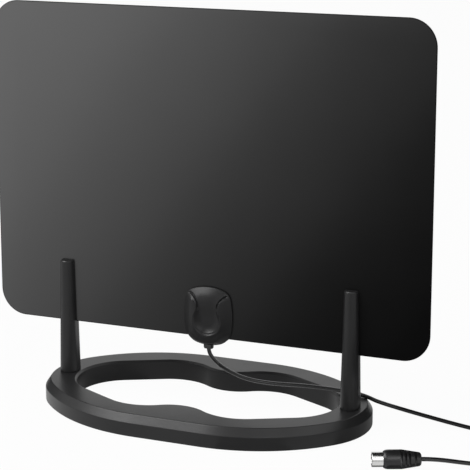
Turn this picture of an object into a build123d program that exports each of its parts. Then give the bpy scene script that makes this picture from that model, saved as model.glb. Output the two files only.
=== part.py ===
from build123d import *
import math
import os

# Flat indoor television antenna, in millimetres.
# +X runs along the panel, +Z is up, and the front of the panel faces -Y.
# The origin is on the table, under the middle of the base.

# Panel: two thin sheets laminated over a pair of foil loops
panel_width = 320.0
panel_height = 228.0
panel_corner = 19.0
front_sheet = 0.5
rear_sheet = 0.7
foil_thickness = 0.2
foil_strip = 14.0
foil_margin = 10.0
foil_gap = 6.0
foil_corner = 9.0
foil_clearance = 0.2

# Base ring: an oval moulding with a two-lobed hole, hollow underneath
base_length = 239.0
base_width = 140.0
base_height = 15.0
base_end_radius = 50.0
base_shoulder_radius = 112.0
base_wall = 2.4
base_deck = 2.4
chamfer_inset = 3.7
chamfer_height = 5.4
ring_end_width = 23.0
ring_side_width = 22.3
hole_pocket_radius = 34.5
lobe_x = 35.5
waist_bump = 10.6
hole_bevel = 1.4
rib_thickness = 1.6
rib_height = 7.0
rib_offset = 17.0
rib_pitch = 37.0

# Rubber feet
foot_radius = 5.0
foot_thickness = 2.0
foot_stand = 0.3
foot_clearance = 0.1
foot_bevel = 0.4
foot_boss_wall = 2.0

# Posts: tapered, slotted from the top, plugged into the base
post_setback = 13.7
post_height = 82.3
post_foot_width = 12.9
post_foot_depth = 16.7
post_top_width = 9.8
post_top_depth = 12.8
post_bevel = 0.7
slot_depth = 44.9
slot_clearance = 0.1
tenon_width = 8.4
tenon_depth = 12.2
tenon_length = 7.6
tenon_clearance = 0.1
post_boss_wall = 3.0

# Screws that hold the posts from below
post_screw_radius = 1.5
post_screw_reach = 14.0
post_screw_head_radius = 2.9
post_screw_head = 2.2
post_screw_recess = 3.5
post_screw_recess_width = 0.75
screw_clearance = 0.1

# Coupler pod clamped on the lower edge of the panel
pod_offset = 3.8
pod_shift = -1.2
pod_overhang = 5.4
pod_width = 36.0
pod_height = 41.7
pod_depth = 8.0
pod_bottom_rise = 4.4
pod_top_rise = 4.1
pod_side_bulge = 2.2
pod_bottom_corner = 12.5
pod_top_corner = 7.6
pod_draft = 6.0
pod_dome_radius = 95.0
pod_edge = 4.0
pod_wall = 1.6
scoop_depth = 0.8
scoop_bulb_radius = 10.7
scoop_bulb_height = 17.3
scoop_flank_radius = 10.4
scoop_flank_height = 27.6
rear_cover_depth = 4.0
rear_cover_edge = 1.5
rear_cover_wall = 1.6
lip_clearance = 0.2

# Pod screws
pod_screw_spread = 22.6
pod_screw_height = 10.5
pod_screw_radius = 0.9
pod_screw_reach = 6.5
pod_screw_head_radius = 2.0
pod_screw_head = 1.2
pod_screw_recess = 2.4
pod_screw_recess_width = 0.45
pod_boss_wall = 1.7

# Matching board, its ferrite core and the two rivets that carry it
board_width = 20.0
board_height = 14.0
board_thickness = 1.0
contact_spread = 14.0
contact_height = 28.0
contact_radius = 1.2
contact_head_radius = 2.4
contact_head = 0.8
contact_spacer_radius = 2.2
contact_spacer = 0.8
contact_tail = 0.8
contact_clearance = 0.05
core_width = 7.0
core_height = 6.0
core_depth = 2.8
core_bore_radius = 0.9
core_bore_spread = 3.4

# Strain relief under the pod
relief_width = 7.0
relief_depth = 4.4
relief_drop = 1.6
relief_neck_width = 5.0
relief_neck_depth = 3.4
relief_flange = 1.2
relief_seat = 0.5
relief_setback = 2.8
relief_corner = 1.0
relief_clearance = 0.1

# Coaxial cord
cord_diameter = 2.8
cord_arc_share = 0.45
coil_across = 30.8
coil_columns = 4
coil_layers = 4
coil_lift = 1.2
coil_round = 1.26
coil_x = 216.0
coil_y = -7.5
tie_width = 4.0
tie_thickness = 0.9
tie_clearance = 0.25
tie_inner_round = 1.0
tie_outer_round = 1.4

# Aerial plug
plug_end_x = 169.2
plug_end_y = -50.0
plug_heading = 202.9
grip_radius = 6.2
grip_end_radius = 4.5
grip_length = 24.4
grip_taper_length = 12.5
grip_nose_round = 1.4
grip_end_round = 1.6
groove_width = 1.3
groove_depth = 1.3
groove_pitch = 2.5
groove_start = 7.2
groove_count = 3
groove_tilt = -45.0
barrel_radius = 4.75
barrel_bore_radius = 4.05
barrel_length = 7.2
barrel_seat = 4.0
barrel_step = 0.35
barrel_bevel = 0.35
pin_radius = 1.2
pin_inset = 0.4
pin_round = 1.1
insulator_face = 1.2

# Places that follow from the sizes above
panel_thickness = front_sheet + rear_sheet
panel_front = -panel_thickness / 2
panel_back = panel_thickness / 2
sheet_seam = panel_front + front_sheet
half_length = base_length / 2
half_width = base_width / 2
post_x = half_length - post_setback
post_top = base_height + post_height
panel_bottom = post_top - slot_depth
pod_bottom = panel_bottom - pod_overhang
pod_inner = pod_wall + pod_edge / 2
cord_radius = cord_diameter / 2


def upright(y):
    """Plane that faces the front, with its local x along +X and its local y along +Z."""
    return Plane(origin=(0, y, 0), x_dir=(1, 0, 0), z_dir=(0, -1, 0))


def slab(sketch, front, back):
    """Upright sketch made solid between two depths."""
    return extrude(upright(back) * sketch, back - front)


def pod_place(u, v):
    """Point of the pod's own face, measured from its lowest point, on an upright plane."""
    return Pos(pod_offset + u, pod_bottom + v)


def four_way(quarter):
    """Face inside an outline given by its quarter in +X +Y."""
    half = quarter + [mirror(edge, Plane.YZ) for edge in quarter]
    return make_face(half + [mirror(edge, Plane.XZ) for edge in half])


def oval(inset):
    """Outline of the base, moved inwards by the inset."""
    end = base_end_radius - inset
    shoulder = base_shoulder_radius - inset
    sine = (base_shoulder_radius - half_width) / (base_shoulder_radius - base_end_radius)
    swing = math.degrees(math.asin(sine))
    end_x = half_length - base_end_radius
    reach = base_shoulder_radius - base_end_radius
    shoulder_x = end_x - reach * math.cos(math.radians(swing))
    shoulder_y = half_width - base_shoulder_radius
    side = half_width - inset
    return four_way([
        CenterArc((end_x, 0), end, 0, swing),
        CenterArc((shoulder_x, shoulder_y), shoulder, swing, 90 - swing),
        Line((shoulder_x, side), (0, side)),
    ])


def lobed_hole(growth):
    """Outline of the base's hole, moved outwards by the growth: ends, lobes and a waist."""
    pocket = hole_pocket_radius + growth
    end_x = half_length - ring_end_width - hole_pocket_radius
    lobe_y = half_width - ring_side_width - hole_pocket_radius
    rise = hole_pocket_radius - waist_bump
    crest = (lobe_x ** 2 + rise ** 2 - hole_pocket_radius ** 2) / (2 * waist_bump)
    crest_y = lobe_y + rise + crest
    slope = math.degrees(math.atan2(lobe_y, end_x - lobe_x))
    turn = math.degrees(math.atan2(crest_y - lobe_y, -lobe_x))
    end = CenterArc((end_x, 0), pocket, 0, 90 - slope)
    lobe = CenterArc((lobe_x, lobe_y), pocket, 90 - slope, turn - 90 + slope)
    waist = CenterArc((0, crest_y), crest - growth, turn - 180, 90 - turn)
    return four_way([end, Line(end @ 1, lobe @ 0), lobe, waist])


def base_block(inset, bottom, top):
    """Base body with its sloped shoulder, moved inwards by the inset."""
    lean = math.degrees(math.atan2(chamfer_inset, chamfer_height))
    shoulder = base_height - chamfer_height - inset * math.tan(math.radians(lean / 2))
    lower = extrude(Pos(0, 0, bottom) * oval(inset), shoulder - bottom)
    upper = extrude(Pos(0, 0, shoulder) * oval(inset), top - shoulder, taper=lean)
    return lower + upper


def stadium(width, depth):
    """Round-ended section of a post, longer from front to back."""
    return SlotOverall(depth, width, rotation=90)


def base_feet_places():
    """Middles of the rubber feet: four along the long sides, two under the posts."""
    side_y = half_width - ring_side_width / 2
    places = {}
    for row, y in (("front", -side_y), ("rear", side_y)):
        for side, x in (("left", -lobe_x), ("right", lobe_x)):
            places[f"foot_{row}_{side}"] = (x, y)
    places["foot_end_left"] = (-post_x, 0)
    places["foot_end_right"] = (post_x, 0)
    return places


def make_base():
    """Base moulding: ring, ribs, foot bosses and post sockets."""
    block = base_block(0, foot_stand, base_height)
    cavity = base_block(base_wall, foot_stand, base_height - base_deck)
    cavity -= extrude(lobed_hole(base_wall), base_height)
    rib = Box(rib_thickness, base_width, rib_height)
    rib_z = base_height - base_deck - rib_height / 2
    for step in range(3):
        for side in (-1, 1):
            cavity -= Pos(side * (rib_offset + step * rib_pitch), 0, rib_z) * rib
    seat = foot_radius + foot_clearance
    for x, y in base_feet_places().values():
        cavity -= Pos(x, y) * extrude(Circle(seat + foot_boss_wall), base_height)
    boss = extrude(
        stadium(tenon_width + 2 * post_boss_wall, tenon_depth + 2 * post_boss_wall), base_height
    )
    for side in (-1, 1):
        cavity -= Pos(side * post_x, 0, 0) * boss

    ring = block - cavity - extrude(lobed_hole(0), base_height)
    bevel_top = Pos(0, 0, base_height) * lobed_hole(hole_bevel)
    ring -= extrude(bevel_top, -hole_bevel, taper=45)

    for x, y in base_feet_places().values():
        ring -= Pos(x, y) * extrude(Circle(seat), foot_thickness)
    socket = stadium(tenon_width + 2 * tenon_clearance, tenon_depth + 2 * tenon_clearance)
    sink = foot_thickness + screw_clearance + post_screw_head
    for side in (-1, 1):
        at = Pos(side * post_x, 0, 0)
        ring -= at * Pos(0, 0, base_height - tenon_length) * extrude(socket, tenon_length)
        ring -= at * extrude(Circle(post_screw_radius + screw_clearance), base_height)
        ring -= at * extrude(Circle(post_screw_head_radius + screw_clearance), sink)
    return ring


def make_foot(x, y):
    """Rubber foot, stuck in its seat."""
    foot = extrude(Circle(foot_radius), foot_thickness)
    foot = chamfer(foot.edges().group_by(Axis.Z)[0], foot_bevel)
    return Pos(x, y) * foot


def make_post(x):
    """Tapered post with its tenon, its slot for the panel and its screw hole."""
    foot = Pos(0, 0, base_height) * stadium(post_foot_width, post_foot_depth)
    tip = Pos(0, 0, post_top) * stadium(post_top_width, post_top_depth)
    post = loft([foot, tip], ruled=True)
    post = chamfer(post.edges().group_by(Axis.Z)[-1], post_bevel)
    tenon_z = base_height - tenon_length
    post += Pos(0, 0, tenon_z) * extrude(stadium(tenon_width, tenon_depth), tenon_length)
    slot = Box(
        2 * post_foot_width,
        panel_thickness + 2 * slot_clearance,
        slot_depth,
        align=(Align.CENTER, Align.CENTER, Align.MIN),
    )
    post -= Pos(0, 0, panel_bottom) * slot
    bore_top = foot_thickness + post_screw_head + post_screw_reach + 2 * screw_clearance
    post -= Pos(0, 0, tenon_z) * extrude(Circle(post_screw_radius), bore_top - tenon_z)
    return Pos(x, 0, 0) * post


def make_post_screw(x):
    """Screw that draws a post into its socket, with a cross recess in its head."""
    head_z = foot_thickness + screw_clearance
    screw = extrude(Circle(post_screw_head_radius), post_screw_head)
    screw += extrude(Circle(post_screw_radius), post_screw_head + post_screw_reach)
    arm = Box(post_screw_recess, post_screw_recess_width, post_screw_head)
    screw -= arm + Rot(0, 0, 90) * arm
    return Pos(x, 0, head_z) * screw


def foil_loop(side, growth):
    """Outline of one foil loop, moved outwards by the growth."""
    inner_x = foil_gap / 2 + side * pod_offset
    outer_x = panel_width / 2 - foil_margin
    low = panel_bottom + foil_margin
    high = panel_bottom + panel_height - foil_margin
    middle = Pos(side * (inner_x + outer_x) / 2, (low + high) / 2)
    wide = outer_x - inner_x + 2 * growth
    tall = high - low + 2 * growth
    band = 2 * (foil_strip + 2 * growth)
    outer = RectangleRounded(wide, tall, foil_corner + growth)
    window = RectangleRounded(wide - band, tall - band, foil_corner - growth)
    return middle * (outer - window)


def pod_holes(radius, spread, height):
    """Pair of round holes across the pod."""
    pair = [pod_place(side * spread / 2, height) * Circle(radius) for side in (-1, 1)]
    return Sketch() + pair


def contact_holes():
    return pod_holes(contact_radius + contact_clearance, contact_spread, contact_height)


def panel_outline():
    """Panel sheet with the holes for the pod's rivets and screws."""
    sheet = Pos(0, panel_bottom + panel_height / 2) * RectangleRounded(
        panel_width, panel_height, panel_corner
    )
    screw_holes = pod_holes(pod_screw_radius + screw_clearance, pod_screw_spread, pod_screw_height)
    return sheet - contact_holes() - screw_holes


def make_rear_sheet():
    """Rear sheet, with shallow pockets that take the foil loops."""
    sheet = slab(panel_outline(), sheet_seam, panel_back)
    for side in (-1, 1):
        pocket = foil_loop(side, foil_clearance)
        sheet -= slab(pocket, sheet_seam, sheet_seam + foil_thickness)
    return sheet


def make_foil(side):
    """Foil loop of one half of the panel."""
    loop = foil_loop(side, 0) - contact_holes()
    return slab(loop, sheet_seam, sheet_seam + foil_thickness)


def arc_radius(half_span, rise):
    """Radius of an arc from half its span and its rise."""
    return (half_span ** 2 + rise ** 2) / (2 * rise)


def bearing(start, end):
    """Direction from one point of a plane to another, in degrees."""
    return math.degrees(math.atan2(end.Y - start.Y, end.X - start.X))


def circles_meet(first, first_radius, second, second_radius):
    """Where two circles meet, to the left of the way from the first centre to the second."""
    apart = second - first
    along = (first_radius ** 2 - second_radius ** 2 + apart.length ** 2) / (2 * apart.length)
    across = math.sqrt(first_radius ** 2 - along ** 2)
    way = apart.normalized()
    return first + way * along + Vector(-way.Y, way.X) * across


def pod_outline(inset):
    """Outline of the pod's covers: arched top, rounded bottom and bulging sides, all tangent arcs."""
    half = pod_width / 2
    corner_u = half - pod_side_bulge
    half_side = (pod_height - pod_bottom_rise - pod_top_rise) / 2
    low_radius = arc_radius(corner_u, pod_bottom_rise)
    top_radius = arc_radius(corner_u, pod_top_rise)
    side_radius = arc_radius(half_side, pod_side_bulge)
    low = Vector(0, low_radius)
    top = Vector(0, pod_height - top_radius)
    side = Vector(half - side_radius, pod_bottom_rise + half_side)
    low_corner = circles_meet(
        low, low_radius - pod_bottom_corner, side, side_radius - pod_bottom_corner
    )
    top_corner = circles_meet(side, side_radius - pod_top_corner, top, top_radius - pod_top_corner)
    turns = [
        bearing(low, low_corner),
        bearing(side, low_corner),
        bearing(side, top_corner),
        bearing(top, top_corner),
    ]
    arcs = [
        CenterArc(low, low_radius - inset, -180 - turns[0], 180 + 2 * turns[0]),
        CenterArc(top, top_radius - inset, turns[3], 180 - 2 * turns[3]),
    ]
    rounds = [(low_corner, pod_bottom_corner), (side, side_radius), (top_corner, pod_top_corner)]
    for (centre, radius), start, end in zip(rounds, turns, turns[1:]):
        arcs.append(CenterArc(centre, radius - inset, start, end - start))
        arcs.append(CenterArc((-centre.X, centre.Y), radius - inset, 180 - end, end - start))
    return pod_place(pod_shift, 0) * make_face(arcs)


def pod_dome(inset):
    """Ball whose near side is the crown of the front cover."""
    middle_y = panel_front - pod_depth + pod_dome_radius
    middle_z = pod_bottom + pod_height / 2
    return Pos(pod_offset + pod_shift, middle_y, middle_z) * Sphere(pod_dome_radius - inset)


def scoop_outline():
    """Thumb scoop of the front cover: a round bulb, a waist and a flare to the top edge."""
    reach = scoop_bulb_radius + scoop_flank_radius
    lift = scoop_flank_height - scoop_bulb_height
    flank_u = math.sqrt(reach ** 2 - lift ** 2)
    meet_v = scoop_bulb_height + lift * scoop_bulb_radius / reach
    flare_height = pod_height - meet_v + pod_depth
    flare = Pos(0, meet_v + flare_height / 2) * Rectangle(2 * flank_u, flare_height)
    for side in (-1, 1):
        flare -= Pos(side * flank_u, scoop_flank_height) * Circle(scoop_flank_radius)
    bulb = Pos(0, scoop_bulb_height) * Circle(scoop_bulb_radius)
    return pod_place(0, 0) * (flare + bulb)


def relief_neck(growth):
    """Neck of the strain relief, through the pod's lower wall."""
    size = (relief_neck_width + 2 * growth, relief_neck_depth + 2 * growth)
    neck = extrude(Rectangle(*size), relief_drop + pod_inner + relief_seat)
    return Pos(pod_offset, panel_front - relief_setback, pod_bottom - relief_drop) * neck


def make_front_cover():
    """Front cover of the pod: a crowned shell with a thumb scoop and two screw bosses."""
    shell = extrude(upright(panel_front) * pod_outline(0), pod_depth, taper=pod_draft)
    shell = shell & pod_dome(0)
    rim = [edge for edge in shell.edges() if edge.center().Y < panel_front - pod_depth / 3]
    rim = [edge for edge in rim if edge.bounding_box().size.Y < pod_depth / 2]
    shell = fillet(rim, pod_edge)
    front = panel_front - pod_depth
    shell -= slab(scoop_outline(), front, panel_front) - pod_dome(scoop_depth)
    cavity = slab(pod_outline(pod_inner), front, panel_front)
    cavity = cavity & pod_dome(pod_wall + scoop_depth)
    bosses = pod_holes(pod_screw_radius + pod_boss_wall, pod_screw_spread, pod_screw_height)
    cavity -= slab(bosses, front, panel_front)
    shell -= cavity
    bore_depth = pod_screw_reach - rear_cover_wall - panel_thickness + screw_clearance
    bores = pod_holes(pod_screw_radius, pod_screw_spread, pod_screw_height)
    shell -= slab(bores, panel_front - bore_depth, panel_front)
    return shell - relief_neck(relief_clearance)


def make_rear_cover():
    """Rear cover of the pod, with a lip that closes the pod under the panel's edge."""
    back = panel_back + rear_cover_depth
    shell = slab(pod_outline(0), panel_back, back)
    shell = fillet(shell.faces().sort_by(Axis.Y)[-1].edges(), rear_cover_edge)
    cavity = slab(pod_outline(rear_cover_wall), panel_back, back - rear_cover_wall)
    bosses = pod_holes(pod_screw_head_radius + pod_boss_wall, pod_screw_spread, pod_screw_height)
    cavity -= slab(bosses, panel_back, back)
    shell -= cavity
    lip_height = pod_overhang - lip_clearance
    below = pod_place(pod_shift, lip_height / 2) * Rectangle(pod_width, lip_height)
    shell += slab(pod_outline(0) & below, panel_front, panel_back)
    holes = pod_holes(pod_screw_radius + screw_clearance, pod_screw_spread, pod_screw_height)
    shell -= slab(holes, panel_back, back)
    sinks = pod_holes(pod_screw_head_radius + screw_clearance, pod_screw_spread, pod_screw_height)
    return shell - slab(sinks, panel_back + rear_cover_wall, back)


def make_pod_screws():
    """The two screws that clamp the pod's covers on the panel."""
    seat = panel_back + rear_cover_wall
    heads = pod_holes(pod_screw_head_radius, pod_screw_spread, pod_screw_height)
    shanks = pod_holes(pod_screw_radius, pod_screw_spread, pod_screw_height)
    screws = slab(heads, seat, seat + pod_screw_head)
    screws += slab(shanks, seat - pod_screw_reach, seat)
    arm = Box(pod_screw_recess, pod_screw_head, pod_screw_recess_width)
    for side in (-1, 1):
        middle = pod_place(side * pod_screw_spread / 2, pod_screw_height).position
        recess = Pos(middle.X, seat + pod_screw_head, middle.Y) * (arm + Rot(0, 90, 0) * arm)
        screws -= recess
    return screws


def make_contact(side):
    """Rivet that joins a foil loop to the board and carries the board."""
    u = side * contact_spread / 2
    steps = [
        (contact_head_radius, panel_back, panel_back + contact_head),
        (contact_radius, panel_front, panel_back),
        (contact_spacer_radius, panel_front - contact_spacer, panel_front),
    ]
    board_front = panel_front - contact_spacer - board_thickness
    steps.append((contact_radius, board_front - contact_tail, panel_front - contact_spacer))
    rivet = Part()
    for radius, front, back in steps:
        rivet += slab(pod_place(u, contact_height) * Circle(radius), front, back)
    return rivet


def make_board():
    """Matching board, seated on the shoulders of the rivets."""
    back = panel_front - contact_spacer
    outline = pod_place(0, contact_height) * Rectangle(board_width, board_height)
    return slab(outline - contact_holes(), back - board_thickness, back)


def make_core():
    """Two-hole ferrite core, glued on the board."""
    back = panel_front - contact_spacer - board_thickness
    block = slab(
        pod_place(0, contact_height) * Rectangle(core_width, core_height), back - core_depth, back
    )
    middle = pod_place(0, contact_height).position
    for side in (-1, 1):
        bore = Cylinder(core_bore_radius, 2 * core_height)
        block -= Pos(middle.X + side * core_bore_spread / 2, back - core_depth / 2, middle.Y) * bore
    return block


def make_relief(cover):
    """Strain relief: a collar under the pod, its neck and the flange inside."""
    y = panel_front - relief_setback
    collar = extrude(RectangleRounded(relief_width, relief_depth, relief_corner), relief_drop)
    relief = Pos(pod_offset, y, pod_bottom - relief_drop) * collar
    relief += relief_neck(0)
    flange_z = pod_bottom + pod_inner + relief_seat
    flange = extrude(RectangleRounded(relief_width, relief_depth, relief_corner), relief_flange)
    relief += Pos(pod_offset, y, flange_z) * flange
    return relief - cover


def cord_route(points):
    """Straight runs joined by arcs as large as the runs allow."""
    knots = [Vector(*point) for point in points]
    radii = []
    for before, knot, after in zip(knots, knots[1:], knots[2:]):
        arriving = knot - before
        leaving = after - knot
        half_turn = math.radians(arriving.get_angle(leaving)) / 2
        radii.append(cord_arc_share * min(arriving.length, leaving.length) / math.tan(half_turn))
    print("cord radii:", ", ".join(f"{radius:.0f}" for radius in radii))
    return FilletPolyline(*knots, radius=radii)


def make_tube(points):
    """Cord along a route, with its volume set beside section times length."""
    route = cord_route(points)
    section = Plane(origin=route @ 0, z_dir=route % 0) * Circle(cord_radius)
    tube = sweep(section, path=route)
    area = math.pi * cord_radius ** 2
    print(f"cord run {route.length:.1f} mm, volume ratio {tube.volume / (area * route.length):.4f}")
    return tube


def make_coil():
    """Outer shape of the wound cord."""
    width = coil_columns * cord_diameter
    height = coil_layers * cord_diameter
    section = Pos(coil_across / 2, coil_lift + height / 2) * RectangleRounded(
        width, height, coil_round
    )
    coil = revolve(Plane.XZ * section, axis=Axis.Z)
    return Pos(coil_x, coil_y, 0) * coil


def make_tie():
    """Band that holds the coil together."""
    width = coil_columns * cord_diameter + 2 * tie_clearance
    height = coil_layers * cord_diameter + 2 * tie_clearance
    middle = Pos(coil_across / 2, coil_lift + coil_layers * cord_radius)
    inner = RectangleRounded(width, height, tie_inner_round)
    outer = RectangleRounded(width + 2 * tie_thickness, height + 2 * tie_thickness, tie_outer_round)
    band = extrude(Plane.XZ * (middle * (outer - inner)), tie_width / 2, both=True)
    return Pos(coil_x, coil_y, 0) * band


def plug_place():
    """Frame of the plug: its local x runs from the cord to the tip, lying on the table."""
    heading = math.radians(plug_heading)
    return Plane(
        origin=(plug_end_x, plug_end_y, grip_radius),
        x_dir=(math.cos(heading), math.sin(heading), 0),
        z_dir=(0, 0, 1),
    )


def turned(points):
    """Solid of revolution about the plug's axis, from its half profile."""
    outline = make_face(Polyline(*points, close=True))
    return revolve(Plane.XZ * outline, axis=Axis.X)


def tube_length(inner, outer, start, end):
    """Round tube or rod along the plug's axis."""
    face = Circle(outer) - Circle(inner) if inner else Circle(outer)
    return extrude(Plane.YZ.offset(start) * face, end - start)


def make_grip():
    """Moulded grip of the plug, with crescent grooves that let its tail flex."""
    grip = turned([
        (0, 0),
        (0, grip_end_radius),
        (grip_taper_length, grip_radius),
        (grip_length, grip_radius),
        (grip_length, 0),
    ])
    grip = fillet(grip.edges().group_by(Axis.X)[-1], grip_nose_round)
    grip = fillet(grip.edges().group_by(Axis.X)[0], grip_end_round)
    for step in range(groove_count):
        middle = groove_start + step * groove_pitch
        here = grip_end_radius + (grip_radius - grip_end_radius) * middle / grip_taper_length
        core = Ellipse(here + groove_depth / 2, here - groove_depth)
        ring = Rot(0, 0, groove_tilt) * (Circle(2 * grip_radius) - core)
        grip -= extrude(Plane.YZ.offset(middle - groove_width / 2) * ring, groove_width)
    seat_radius = barrel_radius - barrel_step
    return grip - tube_length(0, seat_radius, grip_length - barrel_seat, grip_length)


def make_barrel():
    """Outer contact of the plug: a thin metal sleeve, stepped where the grip holds it."""
    end = grip_length + barrel_length
    sleeve = tube_length(barrel_bore_radius, barrel_radius, grip_length, end)
    mouth = sleeve.edges().group_by(Axis.X)[-1].sort_by(SortBy.RADIUS)[-1]
    sleeve = chamfer(mouth, barrel_bevel)
    seat_radius = barrel_radius - barrel_step
    start = grip_length - barrel_seat
    return sleeve + tube_length(barrel_bore_radius, seat_radius, start, grip_length)


def make_insulator():
    """Disc that holds the centre pin in the sleeve."""
    return tube_length(
        pin_radius, barrel_bore_radius, grip_length - barrel_seat, grip_length + insulator_face
    )


def make_pin():
    """Centre contact of the plug, with a rounded tip."""
    tip = grip_length + barrel_length - pin_inset
    pin = tube_length(0, pin_radius, grip_length - barrel_seat, tip)
    return fillet(pin.edges().group_by(Axis.X)[-1], pin_round)


def cord_lead_points():
    """Route from the pod, over the rear of the base and down to the coil."""
    x = pod_offset
    y = panel_front - relief_setback
    z = pod_bottom - relief_drop
    return [
        (x, y, z),
        (x, y, z - 4.0),
        (x + 1.5, y + 0.5, z - 8.2),
        (x + 5.2, y + 2.1, z - 12.4),
        (16.5, 2.4, 28.4),
        (28.0, 9.0, 23.6),
        (45.0, 14.8, 21.2),
        (66.0, 20.2, 20.3),
        (88.0, 24.3, 19.8),
        (111.0, 20.9, 19.8),
        (182.2, 26.1, 1.5),
        (198.0, 25.4, 1.5),
        (212.5, 17.4, 3.4),
        (coil_x + 12.0, coil_y + 12.0, 4.2),
    ]


def cord_tail_points():
    """Route from the plug to the top of the coil."""
    heading = math.radians(plug_heading)
    ahead = (-math.cos(heading), -math.sin(heading))
    return [
        (plug_end_x, plug_end_y, grip_radius),
        (plug_end_x + 8 * ahead[0], plug_end_y + 8 * ahead[1], grip_radius),
        (plug_end_x + 24 * ahead[0], plug_end_y + 24 * ahead[1], 3.4),
        (206.0, -33.6, 3.4),
        (coil_x + 4.0, coil_y - 19.2, 8.4),
        (coil_x + 14.0, coil_y - 12.0, 9.8),
    ]


nodes = {
    "panel_front_sheet": slab(panel_outline(), panel_front, sheet_seam),
    "panel_rear_sheet": make_rear_sheet(),
    "foil_loop_left": make_foil(-1),
    "foil_loop_right": make_foil(1),
    "base_ring": make_base(),
    "post_left": make_post(-post_x),
    "post_right": make_post(post_x),
    "post_screws": Part() + [make_post_screw(-post_x), make_post_screw(post_x)],
    "pod_front_cover": make_front_cover(),
    "pod_rear_cover": make_rear_cover(),
    "pod_screws": make_pod_screws(),
    "matching_board": make_board(),
    "ferrite_core": make_core(),
    "contact_rivet_left": make_contact(-1),
    "contact_rivet_right": make_contact(1),
    "cord_coil": make_coil(),
    "cord_tie": make_tie(),
}
for name, place in base_feet_places().items():
    nodes[name] = make_foot(*place)
nodes["strain_relief"] = make_relief(nodes["pod_front_cover"])
nodes["cord_lead"] = make_tube(cord_lead_points()) - nodes["cord_coil"]
nodes["cord_tail"] = make_tube(cord_tail_points()) - nodes["cord_coil"]
plug = plug_place()
nodes["plug_grip"] = plug * make_grip()
nodes["plug_barrel"] = plug * make_barrel()
nodes["plug_insulator"] = plug * make_insulator()
nodes["plug_pin"] = plug * make_pin()

os.makedirs("parts", exist_ok=True)
for name, solid in nodes.items():
    export_step(solid, f"parts/{name}.step")
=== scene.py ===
import math

import bmesh
import bpy
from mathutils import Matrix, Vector
from mathutils.kdtree import KDTree


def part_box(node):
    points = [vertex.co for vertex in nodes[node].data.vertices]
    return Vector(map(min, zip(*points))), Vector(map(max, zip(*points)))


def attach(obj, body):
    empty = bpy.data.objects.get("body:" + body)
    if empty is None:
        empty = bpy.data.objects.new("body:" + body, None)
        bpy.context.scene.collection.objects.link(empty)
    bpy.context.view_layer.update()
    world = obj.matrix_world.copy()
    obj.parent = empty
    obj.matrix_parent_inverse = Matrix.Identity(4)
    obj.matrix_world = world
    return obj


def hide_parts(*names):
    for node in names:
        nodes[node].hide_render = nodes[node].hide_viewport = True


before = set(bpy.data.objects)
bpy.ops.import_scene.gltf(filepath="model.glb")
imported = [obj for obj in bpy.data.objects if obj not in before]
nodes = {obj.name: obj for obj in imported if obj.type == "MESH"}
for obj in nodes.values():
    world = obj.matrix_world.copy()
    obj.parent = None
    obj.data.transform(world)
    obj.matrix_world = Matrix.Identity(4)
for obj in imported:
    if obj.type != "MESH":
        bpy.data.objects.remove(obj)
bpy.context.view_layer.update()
scene = bpy.context.scene
scene.view_settings.view_transform = "Standard"

# Shapes are worked out in millimetres and set down in metres
MM = 0.001

# Slack for rounding when lengths are added up
SLACK = 1e-9

# Base ring, as in the part's source
BASE_END_RADIUS = 50.0
BASE_SHOULDER_RADIUS = 112.0
BASE_WALL = 2.4
CHAMFER_INSET = 3.7
CHAMFER_HEIGHT = 5.4
RING_END_WIDTH = 23.0
RING_SIDE_WIDTH = 22.3
POCKET_RADIUS = 34.5
LOBE_X = 35.5
WAIST_BUMP = 10.6
HOLE_BEVEL = 1.4
RIB_THICKNESS = 1.6
RIB_HEIGHT = 7.0
RIB_PLACES = (17.0, 54.0, 91.0)
FOOT_SEAT_DEPTH = 1.2
FOOT_CLEARANCE = 0.1
FOOT_BOSS_WALL = 2.0
POST_BOSS_WALL = 3.0

# Base ring's mesh: where its deck is split, how its edges are rounded and how finely it is cut
DECK_SPLIT = 8.0
OUTER_ROUNDS = (0.6, 0.3, 0.4, 1.2, 0.9)
INNER_ROUNDS = (0.5, 0.5, 0.4, 0.3)
BASE_STEPS = 56

# How far ribs and bosses reach into the deck, how far cuts run past a face, and the flat that
# keeps a circle a stadium
OVERLAP = BASE_WALL / 3
OVERCUT = 1.0
SLIVER = 0.01

# Posts: their taper, the seam at their foot and the rounding of their tip
POST_TOP_WIDTH = 9.8
POST_TOP_DEPTH = 12.8
POST_BEVEL = 0.7
POST_TIP = 4 * POST_BEVEL
POST_ROUNDS = (0.5, 0.4)
POST_HOLD = 0.15
POST_SEAM = 0.35
POST_SEAM_TOP = 0.6 * POST_SEAM
POST_SEAM_END = 1.6 * POST_SEAM
TENON_WIDTH = 8.4
TENON_DEPTH = 12.2
SLOT_CLEARANCE = 0.1

# Panel: its corners, its pressed rim as steps outwards and below the face, how finely it is cut,
# and how squarely a face has to point forwards or backwards to be film
PANEL_CORNER = 19.0
PANEL_RIM = ((0, 0.2), (-0.12, 0.08), (-0.55, 0))
PANEL_STEPS = 160
FACE_ON = 0.99

# Coupler pod: its outline and its rounding
POD_DEPTH = 8.0
POD_BOTTOM_RISE = 4.4
POD_TOP_RISE = 4.1
POD_SIDE_BULGE = 2.2
POD_BOTTOM_CORNER = 12.5
POD_TOP_CORNER = 7.6
POD_FLANK = 1.0
POD_DOME_RADIUS = 95.0
POD_DOME_ACROSS = 1.6
POD_TOP_EDGE = 13.0
POD_SIDE_EDGE = 9.5
POD_BOTTOM_EDGE = 3.4
POD_STEPS = 210
POD_RINGS = 90
POD_RIM_STEPS = 600

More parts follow.
